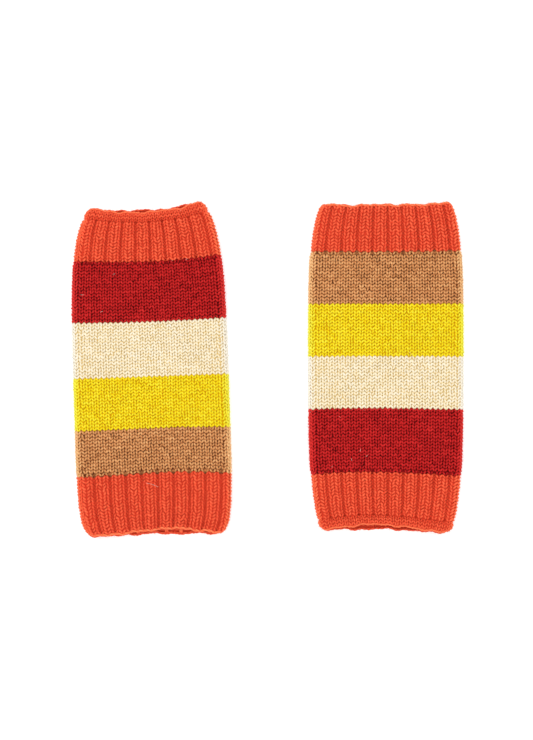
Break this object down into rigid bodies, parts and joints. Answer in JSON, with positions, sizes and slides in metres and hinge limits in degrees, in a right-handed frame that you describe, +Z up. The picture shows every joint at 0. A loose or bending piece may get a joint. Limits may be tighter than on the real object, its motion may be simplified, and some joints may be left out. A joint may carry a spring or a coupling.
{
  "type": "fingerless gloves",
  "caption": "Pair of striped knitted fingerless gloves: plain flattened tubes with ribbed cuffs, laid side by side.",
  "frame": {"origin": "on the surface that the gloves lie on, under the middle of the pair's bounding box", "axes": "+X across the pair from the left glove to the right one, +Y along the tubes, +Z up through the two layers of fabric"},
  "size_m": [0.2264, 0.1914, 0.0112],
  "materials": {
    "orange_yarn": "matt, slightly fuzzy wool, ribbed in the cuffs, paler on raised stitches",
    "red_yarn": "matt, slightly fuzzy wool in stocking stitch, near black in the pits",
    "cream_yarn": "matt, slightly fuzzy wool in stocking stitch",
    "yellow_yarn": "matt, slightly fuzzy wool in stocking stitch",
    "camel_yarn": "matt, slightly fuzzy wool in stocking stitch, brown in the pits"
  },
  "bodies": {
    "left_glove": {"left_cast_on_edge": "orange_yarn", "left_cuff_by_red": "orange_yarn", "left_red_band": "red_yarn", "left_cream_band": "cream_yarn", "left_yellow_band": "yellow_yarn", "left_camel_band": "camel_yarn", "left_cuff_by_camel": "orange_yarn", "left_side_seam": "orange_yarn"},
    "right_glove": {"right_cast_on_edge": "orange_yarn", "right_cuff_by_red": "orange_yarn", "right_red_band": "red_yarn", "right_cream_band": "cream_yarn", "right_yellow_band": "yellow_yarn", "right_camel_band": "camel_yarn", "right_cuff_by_camel": "orange_yarn", "right_side_seam": "orange_yarn"}
  },
  "joints": [
    {"name": "right_glove_lift", "type": "slide", "parent": "left_glove", "child": "right_glove", "axis": [0, 0, 1], "range_m": [0, 0.12]}
  ]
}
